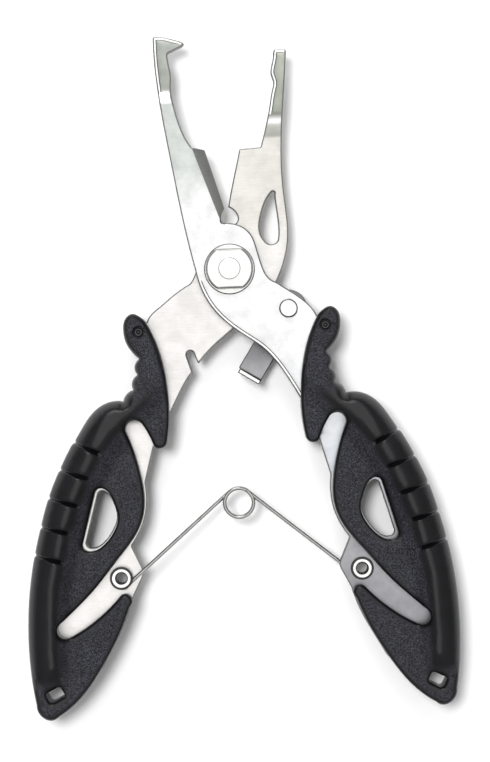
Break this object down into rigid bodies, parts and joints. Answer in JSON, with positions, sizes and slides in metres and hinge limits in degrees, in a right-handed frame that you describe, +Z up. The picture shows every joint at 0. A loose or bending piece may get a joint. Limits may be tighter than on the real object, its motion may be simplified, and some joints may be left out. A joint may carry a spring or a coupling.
{
  "type": "fishing pliers",
  "caption": "Split-ring fishing pliers, sprung open, with hooked jaw, line cutters, moulded handles and a swing latch.",
  "frame": {"origin": "on the table under the middle of the open pliers, which lie on their back", "axes": "+X to the right-hand handle, +Y from the handles to the jaws, +Z up out of the front face"},
  "size_m": [0.079, 0.1245, 0.012],
  "materials": {
    "front_plate": "satin",
    "rear_plate": "fine brushed",
    "latch_plate": "satin",
    "hardware": "polished",
    "spring": "drawn wire",
    "handle": "finely textured, satin on the ridge",
    "pin": "satin"
  },
  "bodies": {
    "front_lever_side": {"front_lever": "front_plate", "pivot_screw": "hardware", "pivot_nut": "hardware", "pivot_front_washer": "hardware", "pivot_rear_washer": "hardware", "latch_rivet": "hardware", "latch_spacer": "hardware", "right_front_shell": "handle", "right_back_shell": "handle", "right_guard_pin": "pin", "right_tail_pin": "pin", "right_eyelet": "hardware"},
    "rear_lever_side": {"rear_lever": "rear_plate", "left_front_shell": "handle", "left_back_shell": "handle", "left_guard_pin": "pin", "left_tail_pin": "pin", "left_eyelet": "hardware"},
    "latch_arm": {"latch": "latch_plate"},
    "spring_right": {"spring_right_half": "spring"},
    "spring_left": {"spring_left_half": "spring"}
  },
  "joints": [
    {"name": "lever_pivot", "type": "hinge", "parent": "front_lever_side", "child": "rear_lever_side", "pos_m": [0, 0.019, 0.006], "axis": [0, 0, 1], "range_deg": [-2, 26], "stiffness_Nm_per_rad": 0.5},
    {"name": "latch_swing", "type": "hinge", "parent": "front_lever_side", "child": "latch_arm", "pos_m": [0.0105, 0.0114, 0.006], "axis": [0, 0, 1], "range_deg": [-7, 18]},
    {"name": "spring_right_swing", "type": "hinge", "parent": "front_lever_side", "child": "spring_right", "pos_m": [0.0221, -0.0368, 0.006], "axis": [0, 0, 1], "range_deg": [-26.5, 2.5]},
    {"name": "spring_coil_turn", "type": "hinge", "parent": "spring_right", "child": "spring_left", "pos_m": [0, -0.0239, 0.006], "axis": [0, 0, 1], "range_deg": [-6.5, 79], "deforming": ["spring_left_half"]}
  ],
  "couplings": [
    {"joint": "spring_right_swing", "follows": "lever_pivot", "ratio": -1.0069},
    {"joint": "spring_coil_turn", "follows": "lever_pivot", "ratio": 3.0139}
  ]
}
